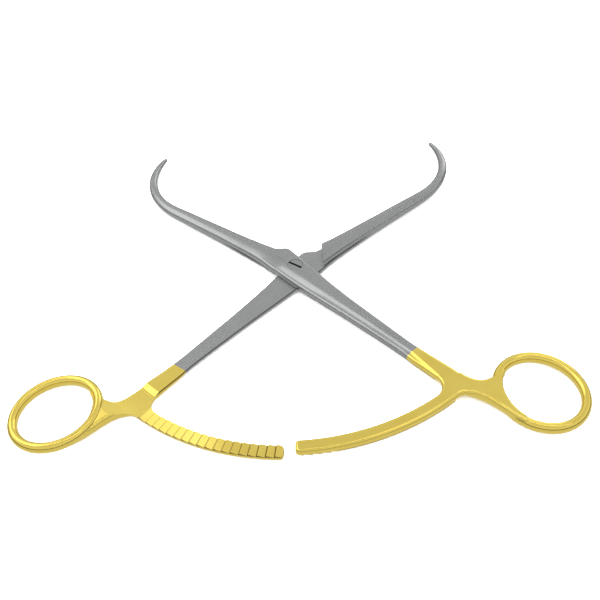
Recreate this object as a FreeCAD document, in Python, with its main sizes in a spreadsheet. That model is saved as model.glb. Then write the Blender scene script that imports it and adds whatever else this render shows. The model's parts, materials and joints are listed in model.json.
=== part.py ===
"""Bone reduction forceps: two congruent forged arms crossing in a half-lap screw joint.

Each arm is described in its own frame with the instrument closed: the pivot is the origin,
+Y points along the jaws, +X is the side on which the jaw bows out and the handle lies
towards -X. The lap face is z = 0 and the shank lies below it. The under arm is used as it
is; the over arm is the same shape turned half a turn about Y. All lengths are millimetres.
"""

import FreeCAD, Part
import Sketcher
import os
from math import asin, atan2, cos, degrees, hypot, radians, sin, tan

SIZES = {
    # pose and joint
    "half_opening": 36.4,
    "plate_thickness": 3.2,
    "lap_clearance": 0.04,
    "screw_shank_diameter": 4.0,
    "screw_head_diameter": 5.7,
    "screw_head_height": 1.3,
    "screw_end_diameter": 3.4,
    "running_clearance": 0.03,
    "slot_width": 0.8,
    "slot_depth": 0.7,
    "slot_direction": -35.4,
    "screw_chamfer": 0.15,
    "land_round": 1.1,
    # millimetres for one unit of the section tables and drawn outlines
    "drawing_unit": 1.0,
    # how far a cut runs past the metal
    "cut_spare": 3.0,
    # jaw axis: a straight run, a slow bend and the hook
    "jaw_lean": 16.0,
    "bend_radius": 35.0,
    "hook_radius": 25.9,
    "hook_side": 18.2,
    "hook_level": 68.2,
    "jaw_run": 55.9,
    "tip_radius": 0.8,
    # ratchet bar, an arc about the pivot
    "bar_outer_radius": 81.8,
    "bar_width": 4.5,
    "bar_thickness": 2.55,
    "bar_root_angle": -92.0,
    "bar_edge_round": 1.0,
    "bar_corner": 1.3,
    "crotch_radius": 5.0,
    "crotch_angle": -89.6,
    "foot_radius": 3.4,
    "foot_angle": -93.4,
    # teeth of the under bar, and the few catch teeth of the over bar
    "tooth_pitch_angle": 2.0,
    "tooth_lead_angle": 1.8,
    "tooth_crest_gap": 0.05,
    "tooth_crest_share": 0.10,
    "tooth_headroom": 0.6,
    "tooth_tip_angle": -56.0,
    "tooth_count": 18,
    "tooth_depth": 0.85,
    "catch_tip_angle": -53.85,
    "catch_count": 5,
    "catch_depth": 0.45,
    # relief over the bar's root, measured from the bar's inner and outer edge
    "relief_start_gap": 6.7,
    "relief_floor_gap": 4.3,
    "relief_end_gap": 0.8,
    "relief_ramp": 0.39,
    "relief_angle": -92.4,
    "relief_sweep": 24.0,
    # finger ring, its centre measured from the bar's root
    "ring_side": -24.25,
    "ring_level": -14.15,
    "ring_half_width": 12.95,
    "ring_half_length": 14.75,
    "ring_lean": 3.0,
    "ring_wire_width": 3.3,
    "ring_wire_height": 3.9,
    "ring_rise": 0.3,
    "ring_tilt": 2.2,
    # neck between bar root and ring, its underside rising towards the ring
    "neck_start": 6.2,
    "neck_direction": 216.9,
    "neck_run": 18.0,
    "neck_rise": 1.45,
    "web_rise": 1.1,
    "web_round": 1.0,
    "web_hole_round": 0.8,
}

# two edges closer than this are the same
TOUCH = 1e-3

# half sections of shank and jaw, each as
# far side, near side, height, far corner, facet edge, ridge, ridge depth, wall depth
# shank: the level, then the plan positions of the edges
SHANK_STATIONS = [
    (-58.7, (-8.35, -3.05, 2.80, 0.75, -5.7, -4.3, 2.05, 1.1)),
    (-50.0, (-7.35, -1.95, 2.85, 0.75, -4.6, -3.05, 2.1, 1.1)),
    (-40.0, (-6.4, -0.35, 2.95, 0.75, -3.3, -1.55, 2.15, 1.15)),
    (-30.0, (-5.5, 1.35, 3.05, 0.8, -1.9, 0.05, 2.2, 1.2)),
    (-20.0, (-4.8, 3.2, 3.12, 0.85, -0.4, 1.75, 2.2, 1.3)),
    (-11.0, (-4.4, 4.85, 3.17, 0.9, 0.5, 3.3, 2.3, 1.4)),
    (-3.0, (-4.2, 6.05, 3.18, 1.0, 0.8, 4.6, 2.4, 1.5)),
    (3.5, (-3.9, 6.9, 3.16, 1.0, 0.8, 5.5, 2.5, 1.5)),
]
# jaw: the distance along the axis, then distances from the axis
JAW_STATIONS = [
    (6.0, (3.6, 4.8, 3.12, 0.9, -1.8, 3.5, 2.6, 1.5)),
    (12.0, (3.0, 3.95, 3.1, 0.9, -1.0, 2.95, 2.55, 1.4)),
    (20.0, (2.65, 3.4, 2.8, 0.9, -0.7, 2.6, 2.3, 1.2)),
    (31.0, (2.5, 2.8, 2.45, 0.9, -0.5, 2.05, 2.0, 1.0)),
    (42.0, (2.4, 2.5, 2.2, 1.0, -0.4, 1.75, 1.75, 0.8)),
    (52.0, (2.3, 2.3, 2.05, 1.2, -0.3, 1.55, 1.6, 0.6)),
    (61.0, (2.1, 2.1, 1.9, 1.5, -0.15, 1.4, 1.45, 0.4)),
    (67.0, (1.95, 1.95, 1.85, 1.65, -0.1, 1.35, 1.35, 0.25)),
    (73.0, (1.85, 1.85, 1.8, 1.65, -0.1, 1.3, 1.3, 0.2)),
    (80.0, (1.7, 1.7, 1.65, 1.5, -0.1, 1.2, 1.2, 0.15)),
    (87.0, (1.45, 1.45, 1.4, 1.25, -0.1, 1.0, 1.0, 0.15)),
    (92.0, (1.15, 1.15, 1.15, 1.0, -0.1, 0.82, 0.82, 0.1)),
    (96.0, (0.85, 0.85, 0.85, 0.74, -0.05, 0.6, 0.6, 0.07)),
]
# the jaw's other half has a slanting near side at the root
JAW_TOP_STATIONS = [
    (4.0, (3.8, 5.1, 3.15, 0.9, -0.6, 2.9, 2.9, 0.3)),
    (12.0, (3.0, 3.95, 3.05, 0.9, -0.5, 2.7, 2.7, 0.4)),
    (20.0, (2.65, 3.4, 2.8, 0.9, -0.5, 2.5, 2.4, 0.8)),
] + JAW_STATIONS[3:]
# shank end: the share of the run from the plating line to the bar's root instead of the level
HANDLE_STATIONS = [
    (0.0, SHANK_STATIONS[0][1]),
    (0.235, (-9.15, -3.45, 2.79, 0.85, -5.9, -4.4, 2.2, 1.3)),
    (0.481, (-10.1, -4.05, 2.76, 1.05, -5.9, -4.7, 2.35, 1.6)),
    (0.7, (-11.0, -4.5, 2.70, 1.3, -5.9, -5.0, 2.42, 1.8)),
    (1.0, (-11.95, -5.4, 2.35, 1.5, -6.6, -5.8, 2.1, 1.5)),
]


def size(name):
    """Return one size by its name."""
    return SIZES[name]


def drawn(*values):
    """Return lengths of a table or an outline in millimetres."""
    return [value * size("drawing_unit") for value in values]


def outline_points(points, origin=(0, 0)):
    """Return drawn plan points in millimetres, measured from an origin."""
    unit = size("drawing_unit")
    return [(origin[0] + x * unit, origin[1] + y * unit) for x, y in points]


def make_sheet(doc):
    """Put every size in a spreadsheet cell named after it."""
    sheet = doc.addObject("Spreadsheet::Sheet", "Sizes")
    for row, (name, value) in enumerate(SIZES.items(), start=1):
        sheet.set(f"A{row}", name)
        sheet.set(f"B{row}", str(value))
        sheet.setAlias(f"B{row}", name)
    doc.recompute()
    return sheet


def origin_part(body, role):
    """Return one of the body's own origin planes or axes by its role."""
    for feature in body.Origin.OriginFeatures:
        if feature.Role == role:
            return feature
    raise ValueError(role)


def new_sketch(body, name, role="XY_Plane", offset=None):
    """Attach an empty sketch to one of the body's own origin planes."""
    sketch = body.newObject("Sketcher::SketchObject", name)
    sketch.AttachmentSupport = [(origin_part(body, role), "")]
    sketch.MapMode = "FlatFace"
    if offset is not None:
        sketch.AttachmentOffset = offset
    return sketch


def line(start, end):
    """Return a straight sketch edge."""
    return Part.LineSegment(FreeCAD.Vector(*start, 0), FreeCAD.Vector(*end, 0))


def arc(start, middle, end):
    """Return a circular sketch edge through three points."""
    points = [FreeCAD.Vector(*point, 0) for point in (start, middle, end)]
    return Part.Arc(*points)


def polar(radius, angle, centre=(0, 0)):
    """Return the plan point at a radius and an angle in degrees about a centre."""
    return (centre[0] + radius * cos(radians(angle)), centre[1] + radius * sin(radians(angle)))


def bar_root():
    """Return the outer corner of the bar's root, from which the handle is measured."""
    return polar(size("bar_outer_radius"), size("bar_root_angle"))


def pivot_arc(radius, start_angle, end_angle):
    """Return an arc about the pivot between two angles."""
    middle = (start_angle + end_angle) / 2
    return arc(polar(radius, start_angle), polar(radius, middle), polar(radius, end_angle))


def chain(points):
    """Return the closed run of straight edges through the points."""
    return [line(a, b) for a, b in zip(points, points[1:] + points[:1])]


def drive(feature, prop, expression):
    """Bind a property to the spreadsheet."""
    feature.setExpression(prop, expression)


def section_placement(x, y, heading):
    """Place a sketch upright across a plan direction, sketch Y being world Z."""
    ahead = FreeCAD.Vector(cos(radians(heading)), sin(radians(heading)), 0)
    across = FreeCAD.Vector(-ahead.y, ahead.x, 0)
    up = FreeCAD.Vector(0, 0, 1)
    turn = FreeCAD.Rotation(across, up, ahead, "ZXY")
    return FreeCAD.Placement(FreeCAD.Vector(x, y, 0), turn)


def easing_arc(start, end, start_tangent_across):
    """Return an arc that leaves along the facet, or arrives along the side wall."""
    dx, dy = end[0] - start[0], end[1] - start[1]
    lean = atan2(abs(dy), abs(dx)) if start_tangent_across else atan2(abs(dx), abs(dy))
    share = tan(lean / 2) / 2
    outward_x, outward_y = -abs(dy), (abs(dx) if start[1] > 0 else -abs(dx))
    middle = ((start[0] + end[0]) / 2 + share * outward_x, (start[1] + end[1]) / 2 + share * outward_y)
    return arc(start, middle, end)


def half_section(values, up=-1):
    """Return the section on one side of the lap plane: flat facet, ridge and side walls."""
    far, near, height, corner, facet, ridge, ridge_depth, wall = drawn(*values)
    knee = corner * (1 - cos(radians(45)))
    points = [
        (far, 0.0), (far, height - corner), (far - corner, height),
        (-facet, height), (-ridge, ridge_depth), (-near, wall), (-near, 0.0),
    ]
    points = [(x, up * z) for x, z in points]
    far_middle = (far - knee, up * (height - knee))
    return [
        line(points[0], points[1]),
        arc(points[1], far_middle, points[2]),
        line(points[2], points[3]),
        easing_arc(points[3], points[4], True),
        easing_arc(points[4], points[5], False),
        line(points[5], points[6]),
        line(points[6], points[0]),
    ]


def jaw_point(distance):
    """Return plan position and heading of the jaw axis at a distance along it."""
    lean = radians(size("jaw_lean"))
    bend, hook = size("bend_radius"), size("hook_radius")
    bend_x = size("hook_side") - bend * (1 - cos(lean))
    bend_y = size("hook_level") - bend * sin(lean)
    run = size("jaw_run")
    if distance <= run:
        back = run - distance
        return bend_x - back * sin(lean), bend_y - back * cos(lean), 90 - size("jaw_lean")
    bend_length = bend * lean
    if distance <= run + bend_length:
        turn = lean - (distance - run) / bend
        x = size("hook_side") - bend * (1 - cos(turn))
        return x, size("hook_level") - bend * sin(turn), 90 - degrees(turn)
    turn = (distance - run - bend_length) / hook
    x = size("hook_side") - hook * (1 - cos(turn))
    return x, size("hook_level") + hook * sin(turn), 90 + degrees(turn)


def add_loft(doc, body, name, sections):
    """Add a smooth loft through placed sections given as (placement, edges)."""
    sketches = []
    for index, (placement, edges) in enumerate(sections):
        sketch = new_sketch(body, f"{name}Section{index}", offset=placement)
        sketch.addGeometry(edges)
        sketches.append(sketch)
    doc.recompute()
    loft = body.newObject("PartDesign::AdditiveLoft", name)
    loft.Profile = sketches[0]
    loft.Sections = [(sketch, [""]) for sketch in sketches[1:]]
    loft.Ruled = False
    doc.recompute()
    return loft


def shank_sections(stations):
    """Return placed half sections across the shank; their X runs towards the far side."""
    sections = []
    for level, (outer, *rest) in stations:
        sections.append((section_placement(0, *drawn(level), 90), half_section((-outer, *rest))))
    return sections


def jaw_sections(stations, up):
    """Return placed half sections across the jaw axis, above or below the lap plane."""
    sections = []
    for distance, values in stations:
        sections.append((section_placement(*jaw_point(*drawn(distance))), half_section(values, up)))
    return sections


def add_arm(doc, body):
    """Loft shank and jaw below the lap plane, the jaw above it, and close the point."""
    shank = shank_sections(SHANK_STATIONS)
    add_loft(doc, body, "Shank", shank)
    add_loft(doc, body, "JawUnder", [shank[-1]] + jaw_sections(JAW_STATIONS, -1))
    add_loft(doc, body, "JawTop", jaw_sections(JAW_TOP_STATIONS, 1))
    point = body.newObject("PartDesign::AdditiveSphere", "Point")
    drive(point, "Radius", "Sizes.tip_radius")
    point.AttachmentSupport = [(origin_part(body, "XY_Plane"), "")]
    point.MapMode = "FlatFace"
    point.AttachmentOffset = section_placement(*jaw_point(*drawn(JAW_STATIONS[-1][0])))
    doc.recompute()


def stop_outline():
    """Return the outline of the land beside the pivot, its outer run with the stop first."""
    points = [(-2.0, -8.0), (-4.15, 1.5), (-3.85, 8.0), (-3.3, 9.8), (-2.1, 10.9), (2.2, 13.9),
              (2.2, 8.0), (0.4, -8.0)]
    heel, waist, side, bend, top, stop, inner, toe = outline_points(points)
    return [
        line(heel, waist), line(waist, side), arc(side, bend, top), line(top, stop),
        line(stop, inner), line(inner, toe), line(toe, heel),
    ]


def edges_over(shape, curves, below):
    """Return the names of a pad's lying edges over the sketch curves, lower than a height."""
    names = []
    for index, edge in enumerate(shape.Edges, start=1):
        middle = edge.valueAt((edge.FirstParameter + edge.LastParameter) / 2)
        upright = edge.BoundBox.XLength + edge.BoundBox.YLength < TOUCH
        foot = Part.Vertex(middle.x, middle.y, 0)
        over = any(curve.toShape().distToShape(foot)[0] < TOUCH for curve in curves)
        if over and not upright and middle.z < below:
            names.append(f"Edge{index}")
    return names


def add_round(doc, body, name, curves, below, radius):
    """Round the edges of the newest feature that lie over the given sketch curves."""
    base = body.Tip
    rounding = body.newObject("PartDesign::Fillet", name)
    rounding.Base = (base, edges_over(base.Shape, curves, below))
    drive(rounding, "Radius", radius)
    body.Tip = rounding
    doc.recompute()


def add_stop(doc, body):
    """Pad the land with the stop and round its outer edge."""
    sketch = new_sketch(body, "StopOutline")
    curves = stop_outline()
    sketch.addGeometry(curves)
    doc.recompute()
    land = body.newObject("PartDesign::Pad", "Land")
    land.Profile = sketch
    land.Reversed = True
    drive(land, "Length", "Sizes.plate_thickness")
    doc.recompute()
    add_round(doc, body, "LandRound", curves[:4], -size("plate_thickness") / 2, "Sizes.land_round")


def cut_shoulder(doc, body):
    """Cut the jaw root away above the lap face up to the slanting shoulder."""
    sketch = new_sketch(body, "ShoulderOutline")
    points = [(-0.9, 17.2), (1.8, 13.9), (7.9, 7.0), (12.0, 2.0), (12.0, -12.0), (-12.0, -12.0), (-12.0, 17.2)]
    sketch.addGeometry(chain(outline_points(points)))
    doc.recompute()
    cut = body.newObject("PartDesign::Pocket", "Shoulder")
    cut.Profile = sketch
    cut.Reversed = True
    drive(cut, "Length", "Sizes.plate_thickness + Sizes.cut_spare")
    doc.recompute()


def cut_bore(doc, body, diameter, counterbore):
    """Cut the pivot bore and, where the screw head sits, its counterbore."""
    sketch = new_sketch(body, "BoreOutline")
    sketch.addGeometry(Part.Circle(FreeCAD.Vector(0, 0, 0), FreeCAD.Vector(0, 0, 1), 1.0))
    sketch.addConstraint(Sketcher.Constraint("Radius", 0, 1.0))
    sketch.setExpression("Constraints[0]", diameter)
    doc.recompute()
    bore = body.newObject("PartDesign::Pocket", "Bore")
    bore.Profile = sketch
    bore.Type = "ThroughAll"
    bore.Midplane = True
    doc.recompute()
    if not counterbore:
        return
    place = FreeCAD.Placement(FreeCAD.Vector(0, 0, -size("plate_thickness")), FreeCAD.Rotation())
    sketch = new_sketch(body, "HeadSeatOutline", offset=place)
    sketch.addGeometry(Part.Circle(FreeCAD.Vector(0, 0, 0), FreeCAD.Vector(0, 0, 1), 1.0))
    sketch.addConstraint(Sketcher.Constraint("Radius", 0, 1.0))
    sketch.setExpression("Constraints[0]", "Sizes.screw_head_diameter / 2 + Sizes.running_clearance")
    doc.recompute()
    seat = body.newObject("PartDesign::Pocket", "HeadSeat")
    seat.Profile = sketch
    seat.Reversed = True
    drive(seat, "Length", "Sizes.screw_head_height + Sizes.lap_clearance + Sizes.running_clearance")
    doc.recompute()


def make_jaw_and_shank(doc, label, takes_head):
    """Build the bare steel part of one arm, from the point to the plating line."""
    body = doc.addObject("PartDesign::Body", label)
    body.Label = label
    add_stop(doc, body)
    add_arm(doc, body)
    cut_shoulder(doc, body)
    if takes_head:
        cut_bore(doc, body, "Sizes.screw_shank_diameter / 2 + Sizes.running_clearance", True)
    else:
        cut_bore(doc, body, "Sizes.screw_end_diameter / 2 + Sizes.running_clearance", False)
    return body


def corner_arc(edge_radius, corner, angle, outward):
    """Return the three points of a bar end corner, from the bar's side to its end face."""
    centre_radius = edge_radius - corner if outward else edge_radius + corner
    turn = degrees(asin(corner / centre_radius))
    centre = polar(centre_radius, angle - turn)
    face = polar(centre_radius * cos(radians(turn)), angle)
    side = polar(edge_radius, angle - turn)
    reach = [(side[i] + face[i]) / 2 - centre[i] for i in (0, 1)]
    scale = corner / hypot(*reach)
    middle = (centre[0] + reach[0] * scale, centre[1] + reach[1] * scale)
    return side, middle, face


def bar_outline(tip):
    """Return the plan outline of ratchet bar, bar root and handle end, its free run first."""
    outer, corner = size("bar_outer_radius"), size("bar_corner")
    inner = outer - size("bar_width")
    crotch, crotch_angle = size("crotch_radius"), size("crotch_angle")
    foot, foot_angle = size("foot_radius"), size("foot_angle")
    crotch_centre = polar(inner - crotch, crotch_angle)
    crotch_side, crotch_middle = [polar(crotch, turn, crotch_centre) for turn in (174, 222)]
    foot_centre = polar(outer + foot, foot_angle)
    foot_middle, foot_end = [polar(foot, turn, foot_centre) for turn in (116, 145)]
    web_low, web_high, shank_side = outline_points([(-7.55, 0.15), (-7.35, 7.75), (-2.55, 12.25)], bar_root())
    inner_side, inner_middle, inner_face = corner_arc(inner, corner, tip, False)
    outer_side, outer_middle, outer_face = corner_arc(outer, corner, tip, True)
    inner_turn = degrees(atan2(inner_side[1], inner_side[0]))
    outer_turn = degrees(atan2(outer_side[1], outer_side[0]))
    return [
        line(shank_side, crotch_side),
        arc(crotch_side, crotch_middle, polar(inner, crotch_angle)),
        pivot_arc(inner, crotch_angle, inner_turn),
        arc(inner_side, inner_middle, inner_face),
        line(inner_face, outer_face),
        arc(outer_face, outer_middle, outer_side),
        pivot_arc(outer, outer_turn, foot_angle),
        arc(polar(outer, foot_angle), foot_middle, foot_end),
        line(foot_end, web_low),
        line(web_low, web_high),
        line(web_high, shank_side),
    ]


def add_bar(doc, body, tip):
    """Pad bar and bar root below the lap face and round the underside edge."""
    place = FreeCAD.Placement(FreeCAD.Vector(0, 0, -size("tooth_crest_gap")), FreeCAD.Rotation())
    sketch = new_sketch(body, "BarOutline", offset=place)
    curves = bar_outline(tip)
    sketch.addGeometry(curves)
    doc.recompute()
    bar = body.newObject("PartDesign::Pad", "Bar")
    bar.Profile = sketch
    bar.Reversed = True
    drive(bar, "Length", "Sizes.bar_thickness")
    doc.recompute()
    add_round(doc, body, "BarRound", curves[:8], -size("bar_thickness") / 2, "Sizes.bar_edge_round")


def spline(points):
    """Return a smooth sketch curve through the points."""
    curve = Part.BSplineCurve()
    curve.interpolate([FreeCAD.Vector(*point, 0) for point in points])
    return curve


def lift_underside(doc, body):
    """Cut the neck's underside so that it rises in a slow bend from the bar root to the ring."""
    start = polar(size("neck_start"), size("neck_direction"), bar_root())
    sketch = new_sketch(body, "LiftOutline", offset=section_placement(*start, size("neck_direction") - 90))
    bottom, run, rise = -size("tooth_crest_gap") - size("bar_thickness"), size("neck_run"), size("neck_rise")
    low = bottom - size("cut_spare")
    sketch.addGeometry([
        arc((0, bottom), (run / 2, bottom + rise / 4), (run, bottom + rise)),
        line((run, bottom + rise), (run, low)), line((run, low), (0, low)), line((0, low), (0, bottom)),
    ])
    doc.recompute()
    cut = body.newObject("PartDesign::Pocket", "Lift")
    cut.Profile = sketch
    cut.Midplane = True
    drive(cut, "Length", "4 * Sizes.ring_half_length")
    doc.recompute()


def add_web(doc, body):
    """Pad the thick neck from the bar's root into the ring and round it over."""
    place = FreeCAD.Placement(FreeCAD.Vector(0, 0, size("web_rise")), FreeCAD.Rotation())
    sketch = new_sketch(body, "WebOutline", offset=place)
    root = bar_root()
    far = outline_points([(-21.45, 1.05), (-15.75, -1.0), (-11.75, 0.45), (-9.85, 3.35), (-9.05, 6.55)], root)
    near = outline_points([(-5.05, -1.35), (-6.95, -3.75), (-8.65, -8.85), (-9.9, -15.55), (-11.75, -21.45)], root)
    hole = outline_points([(-13.3, -18.4), (-12.95, -13.0), (-14.45, -8.0), (-17.95, -3.5), (-20.8, -2.0)], root)
    inside = outline_points([(-5.15, 5.75)], root)[0]
    outer_curves = [line(hole[-1], far[0]), spline(far), spline(near), line(near[-1], hole[0])]
    sketch.addGeometry(outer_curves + [spline(hole), line(far[-1], inside), line(inside, near[0])])
    doc.recompute()
    web = body.newObject("PartDesign::Pad", "Web")
    web.Profile = sketch
    web.Reversed = True
    drive(web, "Length", "Sizes.bar_thickness + Sizes.tooth_crest_gap + Sizes.web_rise")
    doc.recompute()
    lift_underside(doc, body)
    add_round(doc, body, "WebRound", outer_curves, size("cut_spare"), "Sizes.web_round")
    add_round(doc, body, "HoleRound", [spline(hole)], size("cut_spare"), "Sizes.web_hole_round")


def add_ring(doc, body):
    """Sweep an oval wire round the oval path of the finger ring."""
    lean = FreeCAD.Rotation(FreeCAD.Vector(0, 0, 1), -size("ring_lean"))
    tilt = FreeCAD.Rotation(FreeCAD.Vector(1, 0, 0), -size("ring_tilt"))
    root = bar_root()
    centre = FreeCAD.Vector(root[0] + size("ring_side"), root[1] + size("ring_level"), size("ring_rise"))
    ring_place = FreeCAD.Placement(centre, lean * tilt)
    path = new_sketch(body, "RingPath", offset=ring_place)
    long_end = FreeCAD.Vector(0, size("ring_half_length"), 0)
    wide_end = FreeCAD.Vector(size("ring_half_width"), 0, 0)
    path.addGeometry(Part.Ellipse(long_end, wide_end, FreeCAD.Vector(0, 0, 0)))
    place = ring_place * section_placement(0, size("ring_half_length"), 180)
    wire = new_sketch(body, "RingWire", offset=place)
    half_w, half_h = size("ring_wire_width") / 2, size("ring_wire_height") / 2
    wire.addGeometry(Part.Ellipse(FreeCAD.Vector(0, half_h, 0), FreeCAD.Vector(half_w, 0, 0),
                                  FreeCAD.Vector(0, 0, 0)))
    doc.recompute()
    ring = body.newObject("PartDesign::AdditivePipe", "Ring")
    ring.Profile = wire
    ring.Spine = (path, ["Edge1"])
    doc.recompute()


def cut_relief(doc, body):
    """Turn the relief over the bar root about the pivot, with a ramp at each side."""
    floor, top = -size("tooth_depth") - size("tooth_crest_gap"), size("cut_spare")
    sketch = new_sketch(body, "ReliefOutline", offset=section_placement(0, 0, size("relief_angle") + 90))
    outer = size("bar_outer_radius")
    inner = outer - size("bar_width")
    start, low = inner - size("relief_start_gap"), inner - size("relief_floor_gap")
    end = outer + size("relief_end_gap")
    points = [(start, 0.0), (low, floor), (end, floor)]
    points += [(end + (top - floor) / size("relief_ramp"), top), (start, top)]
    sketch.addGeometry(chain([(-r, z) for r, z in points]))
    doc.recompute()
    cut = body.newObject("PartDesign::Groove", "Relief")
    cut.Profile = sketch
    cut.ReferenceAxis = (origin_part(body, "Z_Axis"), [""])
    cut.Reversed = True
    drive(cut, "Angle", "Sizes.relief_sweep")
    doc.recompute()


def cut_teeth(doc, body, kind):
    """Cut one ratchet notch across the bar and repeat it about the pivot."""
    pitch = radians(size("tooth_pitch_angle")) * size("bar_outer_radius")
    crest = -size("tooth_crest_gap")
    floor, top = crest - size(f"{kind}_depth"), crest + size("tooth_headroom")
    start = size("bar_outer_radius") - size("bar_width") - size("cut_spare") / 2
    angle = size(f"{kind}_tip_angle") - size("tooth_lead_angle")
    sketch = new_sketch(body, "NotchOutline", offset=section_placement(*polar(start, angle), angle))
    flat = size("tooth_crest_share") * pitch
    sketch.addGeometry(chain([(flat, top), (flat, crest), (pitch, floor), (pitch, top)]))
    doc.recompute()
    notch = body.newObject("PartDesign::Pocket", "Notch")
    notch.Profile = sketch
    notch.Reversed = True
    drive(notch, "Length", "Sizes.bar_width + Sizes.cut_spare")
    doc.recompute()
    teeth = body.newObject("PartDesign::PolarPattern", "Teeth")
    teeth.Originals = [notch]
    teeth.Axis = (origin_part(body, "Z_Axis"), [""])
    teeth.Reversed = True
    drive(teeth, "Angle", f"(Sizes.{kind}_count - 1) * Sizes.tooth_pitch_angle")
    drive(teeth, "Occurrences", f"Sizes.{kind}_count")
    body.Tip = teeth
    doc.recompute()


def handle_stations():
    """Return the shank end's stations with their levels, down to the bar's root."""
    start = SHANK_STATIONS[0][0]
    run = bar_root()[1] / size("drawing_unit") + 4.75 - start
    return [(start + share * run, values) for share, values in HANDLE_STATIONS]


def make_handle(doc, label, kind):
    """Build the plated part of one arm: shank end, ratchet bar, web and finger ring."""
    body = doc.addObject("PartDesign::Body", label)
    body.Label = label
    add_web(doc, body)
    add_bar(doc, body, size(f"{kind}_tip_angle"))
    add_loft(doc, body, "ShankEnd", shank_sections(handle_stations()))
    cut_relief(doc, body)
    add_ring(doc, body)
    cut_teeth(doc, body, kind)
    return body


def make_screw(doc):
    """Build the slotted pivot screw, its head flush above and its end flush below."""
    body = doc.addObject("PartDesign::Body", "pivot_screw")
    body.Label = "pivot_screw"
    half, head = size("plate_thickness"), size("screw_head_height")
    lap = size("lap_clearance")
    sketch = new_sketch(body, "ScrewProfile", role="XZ_Plane")
    head_r, shank_r = size("screw_head_diameter") / 2, size("screw_shank_diameter") / 2
    end_r, chamfer = size("screw_end_diameter") / 2, size("screw_chamfer")
    sketch.addGeometry(chain([(0, -half), (end_r, -half), (end_r, lap), (shank_r, lap),
                              (shank_r, half - head), (head_r, half - head), (head_r, half - chamfer),
                              (head_r - chamfer, half), (0, half)]))
    doc.recompute()
    turned = body.newObject("PartDesign::Revolution", "Turned")
    turned.Profile = sketch
    turned.ReferenceAxis = (origin_part(body, "Z_Axis"), [""])
    turned.Angle = 360
    doc.recompute()
    place = FreeCAD.Placement(FreeCAD.Vector(0, 0, half), FreeCAD.Rotation())
    slot = new_sketch(body, "SlotOutline", offset=place)
    wide, long = size("slot_width") / 2, size("screw_head_diameter")
    slot.addGeometry(chain([(-long, -wide), (long, -wide), (long, wide), (-long, wide)]))
    doc.recompute()
    cut = body.newObject("PartDesign::Pocket", "Slot")
    cut.Profile = slot
    drive(cut, "Length", "Sizes.slot_depth")
    doc.recompute()
    return body


def place_parts(parts):
    """Open both arms to the rest pose and stand the instrument on its underside land."""
    lift = FreeCAD.Vector(0, 0, size("plate_thickness"))
    about_z, about_y = FreeCAD.Vector(0, 0, 1), FreeCAD.Vector(0, 1, 0)
    under = FreeCAD.Rotation(about_z, -size("half_opening"))
    over = FreeCAD.Rotation(about_z, size("half_opening")) * FreeCAD.Rotation(about_y, 180)
    for label, body in parts.items():
        if label.startswith("lower"):
            body.Placement = FreeCAD.Placement(lift, under)
        elif label.startswith("upper"):
            up = FreeCAD.Vector(0, 0, size("lap_clearance"))
            body.Placement = FreeCAD.Placement(lift + up, over)
        else:
            turn = FreeCAD.Rotation(about_z, size("slot_direction"))
            body.Placement = FreeCAD.Placement(lift, turn)


def check_and_export(doc, parts):
    """Stop on any failed feature or bad solid, then write one STEP file for each sub-part."""
    for item in doc.Objects:
        if "Invalid" in item.State or "Error" in item.State:
            raise RuntimeError(f"{item.Name} failed: {item.State}")
    for label, body in parts.items():
        shape = body.Shape
        if shape.isNull() or not shape.isValid():
            raise RuntimeError(f"{label} has no valid shape")
        print(label, len(shape.Solids), round(shape.Volume, 1), shape.BoundBox)
        shape.exportStep(f"parts/{label}.step")


def main():
    """Build, place, check and write the five sub-parts."""
    os.makedirs("parts", exist_ok=True)
    doc = FreeCAD.newDocument("ReductionForceps")
    make_sheet(doc)
    parts = {}
    for side in ("lower", "upper"):
        steel = f"{side}_jaw_and_shank"
        gold = f"{side}_gold_handle"
        parts[steel] = make_jaw_and_shank(doc, steel, side == "upper")
        parts[gold] = make_handle(doc, gold, "tooth" if side == "lower" else "catch")
    parts["pivot_screw"] = make_screw(doc)
    place_parts(parts)
    doc.recompute()
    check_and_export(doc, parts)


main()
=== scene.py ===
"""Bone reduction forceps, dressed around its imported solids."""

import json
import logging
from dataclasses import dataclass
from enum import Enum
from math import cos, radians, sin

import bpy
from mathutils import Matrix, Vector

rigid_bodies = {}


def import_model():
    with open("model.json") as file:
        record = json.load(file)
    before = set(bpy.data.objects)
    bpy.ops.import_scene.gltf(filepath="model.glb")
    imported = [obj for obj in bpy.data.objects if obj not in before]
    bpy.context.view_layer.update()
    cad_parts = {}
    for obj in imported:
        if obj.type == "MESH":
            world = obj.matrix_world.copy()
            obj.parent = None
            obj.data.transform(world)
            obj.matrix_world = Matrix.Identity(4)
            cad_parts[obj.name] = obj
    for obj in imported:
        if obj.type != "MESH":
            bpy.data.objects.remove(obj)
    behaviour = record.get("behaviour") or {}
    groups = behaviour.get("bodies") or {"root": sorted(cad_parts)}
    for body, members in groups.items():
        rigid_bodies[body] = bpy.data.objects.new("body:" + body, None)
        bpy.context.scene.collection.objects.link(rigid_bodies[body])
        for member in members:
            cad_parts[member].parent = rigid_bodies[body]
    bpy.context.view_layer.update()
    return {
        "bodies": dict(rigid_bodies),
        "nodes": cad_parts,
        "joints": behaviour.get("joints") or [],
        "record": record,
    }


LOG = logging.getLogger("forceps")
MM = 0.001

# nearly all values of a noise texture lie between these
NOISE_LOW = 0.3
NOISE_HIGH = 0.7

# a Mix node's colour sockets by number, because its other sockets share their names
MIX_A = 6
MIX_B = 7
MIX_RESULT = 2


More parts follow.
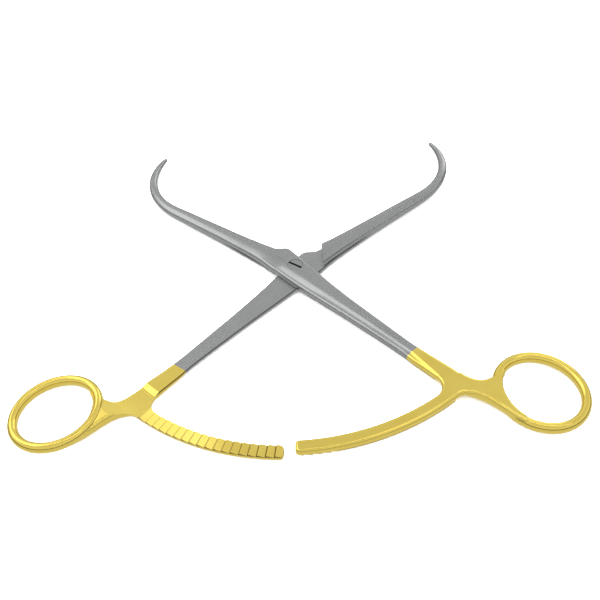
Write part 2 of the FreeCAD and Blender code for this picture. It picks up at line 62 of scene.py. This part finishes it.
def linear(hex_code: str) -> tuple[float, float, float, float]:
    """Turn an sRGB hex colour to linear light.

    Args:
        hex_code: colour as "#rrggbb".

    Returns:
        Linear red, green, blue and an alpha of one.
    """
    channels = [int(hex_code[i : i + 2], 16) / 255 for i in (1, 3, 5)]
    lin = [c / 12.92 if c <= 0.04045 else ((c + 0.055) / 1.055) ** 2.4 for c in channels]
    return lin[0], lin[1], lin[2], 1.0


def add_node(
    tree: bpy.types.NodeTree,
    kind: str,
    links: dict[str | int, bpy.types.NodeSocket] | None = None,
    **settings: float | str,
) -> bpy.types.Node:
    """Add one node, set its properties and sockets and link its inputs.

    Args:
        tree: node tree that takes the node.
        kind: Blender's type name for the node.
        links: input socket name or index to the output socket that feeds it.
        settings: property or input socket values; an underscore stands for a space.

    Returns:
        The new node.
    """
    node = tree.nodes.new(kind)
    for name, value in settings.items():
        if hasattr(node, name):
            setattr(node, name, value)
        else:
            node.inputs[name.replace("_", " ")].default_value = value
    for name, socket in (links or {}).items():
        tree.links.new(socket, node.inputs[name])
    return node


class Surface(Enum):
    """How a metal surface was worked."""

    BLASTED = "blasted"
    GROUND = "ground"
    POLISHED = "polished"


class Facing(Enum):
    """Which surfaces a band of painted shade shows on.

    The value is how far up, or down, the surface faces: first where the band is gone and
    then where it is full, with 0 for a wall and 1 for a level surface.
    """

    ANY = None
    WALLS = (0.8, 0.45)
    GENTLE_SLOPES = (0.85, 0.93)


@dataclass(frozen=True)
class PaintedShadeBand:
    """Heights, in millimetres above the table, between which a surface is painted with shade.

    Unless it faces any way, the band ends at side_reach to the left and right of the pivot and
    at front_reach towards the jaws.
    """

    low: float
    high: float
    fade: float
    colour: str
    strength: float
    facing: Facing = Facing.ANY
    side_reach: float = 50.0
    front_reach: float = 12.0
    reach_fade: float = 8.0

    def limits(
        self, tree: bpy.types.NodeTree, place: bpy.types.Node
    ) -> list[tuple[bpy.types.NodeSocket, float, float]]:
        """List what limits the band.

        Args:
            tree: node tree of the material.
            place: its texture coordinate node.

        Returns:
            For each limit a socket, its value where the band is gone and where it is full.
        """
        where = add_node(tree, "ShaderNodeSeparateXYZ", {"Vector": place.outputs["Object"]})
        x, y, z = where.outputs
        heights = [
            (z, (self.low - self.fade) * MM, self.low * MM),
            (z, (self.high + self.fade) * MM, self.high * MM),
        ]
        if self.facing is Facing.ANY:
            return heights
        normal = add_node(tree, "ShaderNodeSeparateXYZ", {"Vector": place.outputs["Normal"]})
        upright = add_node(tree, "ShaderNodeMath", {0: normal.outputs["Z"]}, operation="ABSOLUTE")
        aside = add_node(tree, "ShaderNodeMath", {0: x}, operation="ABSOLUTE")
        side_end = self.side_reach + self.reach_fade
        front_end = self.front_reach + self.reach_fade
        return heights + [
            (upright.outputs["Value"], *self.facing.value),
            (aside.outputs["Value"], side_end * MM, self.side_reach * MM),
            (y, front_end * MM, self.front_reach * MM),
        ]

    def darken(
        self, tree: bpy.types.NodeTree, place: bpy.types.Node, plain: bpy.types.NodeSocket
    ) -> bpy.types.NodeSocket:
        """Mix the band's painted shade into a colour.

        Args:
            tree: node tree of the material.
            place: its texture coordinate node.
            plain: socket of the colour without the band.

        Returns:
            The colour socket of the mix.
        """
        shade_mask = add_node(tree, "ShaderNodeValue")
        shade_mask.outputs[0].default_value = self.strength
        for value, gone, full in self.limits(tree, place):
            share = add_node(
                tree, "ShaderNodeMapRange", {"Value": value}, interpolation_type="SMOOTHSTEP",
                From_Min=gone, From_Max=full,
            )
            shade_mask = add_node(
                tree, "ShaderNodeMath", {0: shade_mask.outputs[0], 1: share.outputs["Result"]},
                operation="MULTIPLY",
            )
        mix = add_node(tree, "ShaderNodeMix", {"Factor": shade_mask.outputs[0], MIX_A: plain}, data_type="RGBA")
        mix.inputs[MIX_B].default_value = linear(self.colour)
        return mix.outputs[MIX_RESULT]


@dataclass(frozen=True)
class MetalFinish:
    """A bare or plated metal, with its patterns in millimetres.

    The grain of a polished surface only varies its gloss, so it has no depth.
    """

    name: str
    colour: str
    shade: str
    surface: Surface
    roughness: float
    roughness_spread: float
    grain: float
    waviness: float
    wave_depth: float
    shade_bands: tuple[PaintedShadeBand, ...]
    grain_depth: float = 0.0
    grain_detail: float = 2.0
    wave_detail: float = 1.0
    cloud_size: float = 9.0
    cloud_detail: float = 4.0

    def tint(self, tree: bpy.types.NodeTree, place: bpy.types.Node) -> bpy.types.NodeSocket:
        """Cloud the colour with its darker tone and add the bands of painted shade.

        Args:
            tree: node tree of the material.
            place: its texture coordinate node.

        Returns:
            The colour socket.
        """
        cloud = add_node(
            tree, "ShaderNodeTexNoise", {"Vector": place.outputs["Object"]},
            Scale=1 / (self.cloud_size * MM), Detail=self.cloud_detail,
        )
        mix = add_node(tree, "ShaderNodeMix", {"Factor": cloud.outputs["Fac"]}, data_type="RGBA")
        mix.inputs[MIX_A].default_value = linear(self.shade)
        mix.inputs[MIX_B].default_value = linear(self.colour)
        colour = mix.outputs[MIX_RESULT]
        for band in self.shade_bands:
            colour = band.darken(tree, place, colour)
        return colour

    def relief(
        self, tree: bpy.types.NodeTree, place: bpy.types.Node, grit: bpy.types.Node
    ) -> bpy.types.NodeSocket:
        """Make the slow swell of a hand-finished forging and, unless it is polished, its grain.

        Args:
            tree: node tree of the material.
            place: its texture coordinate node.
            grit: its noise node with the grain.

        Returns:
            The normal socket.
        """
        wave = add_node(
            tree, "ShaderNodeTexNoise", {"Vector": place.outputs["Object"]},
            Scale=1 / (self.waviness * MM), Detail=self.wave_detail,
        )
        swell = add_node(
            tree, "ShaderNodeBump", {"Height": wave.outputs["Fac"]},
            Strength=1.0, Distance=self.wave_depth * MM,
        )
        if self.surface is Surface.POLISHED:
            return swell.outputs["Normal"]
        grain = add_node(
            tree, "ShaderNodeBump", {"Height": grit.outputs["Fac"], "Normal": swell.outputs["Normal"]},
            Strength=1.0, Distance=self.grain_depth * MM,
        )
        return grain.outputs["Normal"]

    def build(self) -> bpy.types.Material:
        """Build the material of this finish.

        Returns:
            The new material.
        """
        material = bpy.data.materials.new(self.name)
        material.use_nodes = True
        tree = material.node_tree
        tree.nodes.clear()
        place = add_node(tree, "ShaderNodeTexCoord")
        grit = add_node(
            tree, "ShaderNodeTexNoise", {"Vector": place.outputs["Object"]},
            Scale=1 / (self.grain * MM), Detail=self.grain_detail,
        )
        rough = add_node(
            tree, "ShaderNodeMapRange", {"Value": grit.outputs["Fac"]},
            From_Min=NOISE_LOW, From_Max=NOISE_HIGH,
            To_Min=self.roughness - self.roughness_spread,
            To_Max=self.roughness + self.roughness_spread,
        )
        shader = add_node(
            tree, "ShaderNodeBsdfPrincipled",
            {
                "Base Color": self.tint(tree, place),
                "Roughness": rough.outputs["Result"],
                "Normal": self.relief(tree, place, grit),
            },
            Metallic=1.0,
        )
        add_node(tree, "ShaderNodeOutputMaterial", {"Surface": shader.outputs["BSDF"]})
        return material


# Painted shade: the walls along the lap, halfway up, are drawn dark.
STEEL_LAP_SHADE = PaintedShadeBand(low=2.6, high=3.4, fade=0.3, colour="#3c3d3d", strength=0.85, facing=Facing.WALLS)
GOLD_LAP_SHADE = PaintedShadeBand(low=2.45, high=3.4, fade=0.35, colour="#6a5412", strength=0.85, facing=Facing.WALLS)
# Painted shade also darkens the foot of each tooth's slope, where one tooth meets the next.
TOOTH_FOOT_SHADE = PaintedShadeBand(
    low=2.36, high=2.44, fade=0.05, colour="#7a6012", strength=0.8, facing=Facing.GENTLE_SLOPES,
    side_reach=52.0, reach_fade=2.0,
)
# Painted shadow: the screw's slot is drawn nearly black below the flush face of its head.
SLOT_SHADOW = PaintedShadeBand(low=4.0, high=6.05, fade=0.2, colour="#060606", strength=1.0)

# Stainless steel, glass-bead blasted: an even grey with a soft, wide highlight.
# The real pits are too fine to show, so they are drawn as a grain of 0.25 mm.
BLASTED_STEEL = MetalFinish(
    name="stainless_steel_bead_blasted", colour="#aaacab", shade="#9c9e9d", surface=Surface.BLASTED,
    roughness=0.26, roughness_spread=0.02, grain=0.25, grain_depth=0.001, waviness=6.0, wave_depth=0.01,
    shade_bands=(STEEL_LAP_SHADE,),
)
# Hard gold plating over polished steel: a greenish yellow mirror, slightly uneven.
GOLD_PLATING = MetalFinish(
    name="hard_gold_plating_polished", colour="#f4dd74", shade="#e9cd5e", surface=Surface.POLISHED,
    roughness=0.15, roughness_spread=0.02, grain=0.3, waviness=5.0, wave_depth=0.012,
    shade_bands=(GOLD_LAP_SHADE, TOOTH_FOOT_SHADE),
)
# Stainless screw, ground flush with the forging: a little darker and duller than the steel round it.
GROUND_STEEL = MetalFinish(
    name="stainless_steel_ground", colour="#a6a8a7", shade="#9a9c9b", surface=Surface.GROUND,
    roughness=0.30, roughness_spread=0.03, grain=0.25, grain_depth=0.0015, waviness=4.0, wave_depth=0.01,
    shade_bands=(SLOT_SHADOW,),
)


@dataclass
class Forceps:
    """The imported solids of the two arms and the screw, given their finishes."""

    steel_nodes: tuple[str, ...] = ("lower_jaw_and_shank", "upper_jaw_and_shank")
    gold_nodes: tuple[str, ...] = ("lower_gold_handle", "upper_gold_handle")
    screw_nodes: tuple[str, ...] = ("pivot_screw",)

    def dress(self, frame: dict) -> None:
        """Give every solid its finish.
        """
        for names, finish in (
            (self.steel_nodes, BLASTED_STEEL),
            (self.gold_nodes, GOLD_PLATING),
            (self.screw_nodes, GROUND_STEEL),
        ):
            material = finish.build()
            for name in names:
                solid = frame["nodes"][name]
                solid.data.materials.clear()
                solid.data.materials.append(material)
                LOG.info("%s dressed as %s", name, finish.name)


@dataclass(frozen=True)
class SoftBox:
    """A rectangular lamp that faces the pivot, in metres and watts."""

    name: str
    place: tuple[float, float, float]
    width: float
    depth: float
    power: float
    mirrored: bool = True

    def hang(self) -> None:
        """Hang the lamp out of the camera's sight, and out of the metal's unless it is mirrored."""
        data = bpy.data.lights.new(self.name, "AREA")
        data.shape = "RECTANGLE"
        data.size = self.width
        data.size_y = self.depth
        data.energy = self.power
        lamp = bpy.data.objects.new(self.name, data)
        lamp.location = self.place
        lamp.rotation_euler = (-Vector(self.place)).to_track_quat("-Z", "Y").to_euler()
        lamp.visible_glossy = self.mirrored
        lamp.visible_camera = False
        bpy.context.scene.collection.objects.link(lamp)


@dataclass
class Studio:
    """Plain pale floor, soft light and the camera of the photograph.

    Lengths are in metres and angles in degrees, and the lens and its sensor in millimetres.
    """

    floor_size: float = 6.0
    floor_level: float = -0.0002
    floor_colour: str = "#ffffff"
    floor_roughness: float = 0.9
    floor_gloss: float = 0.1
    boxes: tuple[SoftBox, ...] = (
        SoftBox("left_box", (-0.58, 0.25, 0.78), width=0.75, depth=0.75, power=1.6),
        SoftBox("right_box", (0.24, 0.25, 0.94), width=0.3, depth=0.3, power=0.2),
        SoftBox("far_box", (0.45, 0.86, 0.27), width=0.5, depth=0.5, power=0.7),
        SoftBox("crown_strip", (0.0, -0.15, 1.0), width=1.3, depth=0.1, power=0.8),
        SoftBox("floor_lamp", (0.0, -0.3, 1.6), width=2.4, depth=2.4, power=120.0, mirrored=False),
    )
    # from straight down at 0 to straight up at 1, and the brightness that is seen there
    sky: tuple[tuple[float, float], ...] = (
        (0.0, 0.76), (0.42, 0.76), (0.48, 0.08), (0.54, 0.12), (0.61, 0.95), (0.86, 0.80), (1.0, 0.62),
    )
    azimuth: float = 4.755
    elevation: float = 45.767
    roll: float = -6.42
    distance: float = 0.3230
    target: tuple[float, float, float] = (0.001558, -0.01508, 0.0032)
    lens: float = 54.0
    sensor_width: float = 36.0
    clip_start: float = 0.01

    def floor(self) -> None:
        """Lay the floor just under the instrument."""
        bpy.ops.mesh.primitive_plane_add(size=self.floor_size, location=(0, 0, self.floor_level))
        plane = bpy.context.object
        plane.name = "studio_floor"
        material = bpy.data.materials.new("matt_white_paper")
        material.use_nodes = True
        shader = material.node_tree.nodes["Principled BSDF"]
        shader.inputs["Base Color"].default_value = linear(self.floor_colour)
        shader.inputs["Roughness"].default_value = self.floor_roughness
        shader.inputs["Specular IOR Level"].default_value = self.floor_gloss
        plane.data.materials.append(material)
        plane.visible_glossy = False

    def light(self) -> None:
        """Hang the soft boxes and the lamp that whitens the floor."""
        for box in self.boxes:
            box.hang()
        bpy.context.scene.view_settings.view_transform = "Standard"

    def surroundings(self) -> None:
        """Make the sky that the metal mirrors, and for the camera a backdrop as plain as the floor."""
        world = bpy.data.worlds.new("studio_sky")
        world.use_nodes = True
        tree = world.node_tree
        gaze = add_node(tree, "ShaderNodeTexCoord").outputs["Generated"]
        split = add_node(tree, "ShaderNodeSeparateXYZ", {"Vector": gaze})
        height = add_node(
            tree, "ShaderNodeMapRange", {"Value": split.outputs["Z"]}, From_Min=-1.0, From_Max=1.0
        )
        shades = add_node(tree, "ShaderNodeValToRGB", {"Fac": height.outputs["Result"]})
        stops = shades.color_ramp.elements
        for index, (place, level) in enumerate(self.sky):
            # a new colour ramp has its first stops already
            stop = stops[index] if index < len(stops) else stops.new(place)
            stop.position = place
            stop.color = (level, level, level, 1.0)
        seen = add_node(tree, "ShaderNodeLightPath").outputs["Is Camera Ray"]
        backdrop = add_node(
            tree, "ShaderNodeMix", {"Factor": seen, MIX_A: shades.outputs["Color"]}, data_type="RGBA"
        )
        backdrop.inputs[MIX_B].default_value = linear(self.floor_colour)
        tree.links.new(backdrop.outputs[MIX_RESULT], tree.nodes["Background"].inputs["Color"])
        bpy.context.scene.world = world

    def camera(self) -> None:
        """Set the camera at the photograph's viewing angle."""
        azimuth, elevation, roll = radians(self.azimuth), radians(self.elevation), radians(self.roll)
        back = Vector((sin(azimuth) * cos(elevation), -cos(azimuth) * cos(elevation), sin(elevation)))
        level = Vector((cos(azimuth), sin(azimuth), 0))
        rise = back.cross(level)
        right = cos(roll) * level + sin(roll) * rise
        up = cos(roll) * rise - sin(roll) * level
        place = Vector(self.target) + back * self.distance
        turn = Matrix((right, up, back)).transposed().to_4x4()
        data = bpy.data.cameras.new("photograph_camera")
        data.lens = self.lens
        data.sensor_width = self.sensor_width
        data.sensor_fit = "HORIZONTAL"
        data.clip_start = self.clip_start
        camera = bpy.data.objects.new("photograph_camera", data)
        camera.matrix_world = Matrix.Translation(place) @ turn
        bpy.context.scene.collection.objects.link(camera)
        bpy.context.scene.camera = camera


def main() -> None:
    """Build the scene around the frame."""
    logging.basicConfig(level=logging.INFO)
    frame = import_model()
    Forceps().dress(frame)
    studio = Studio()
    studio.floor()
    studio.light()
    studio.surroundings()
    studio.camera()


if __name__ == "__main__":
    main()
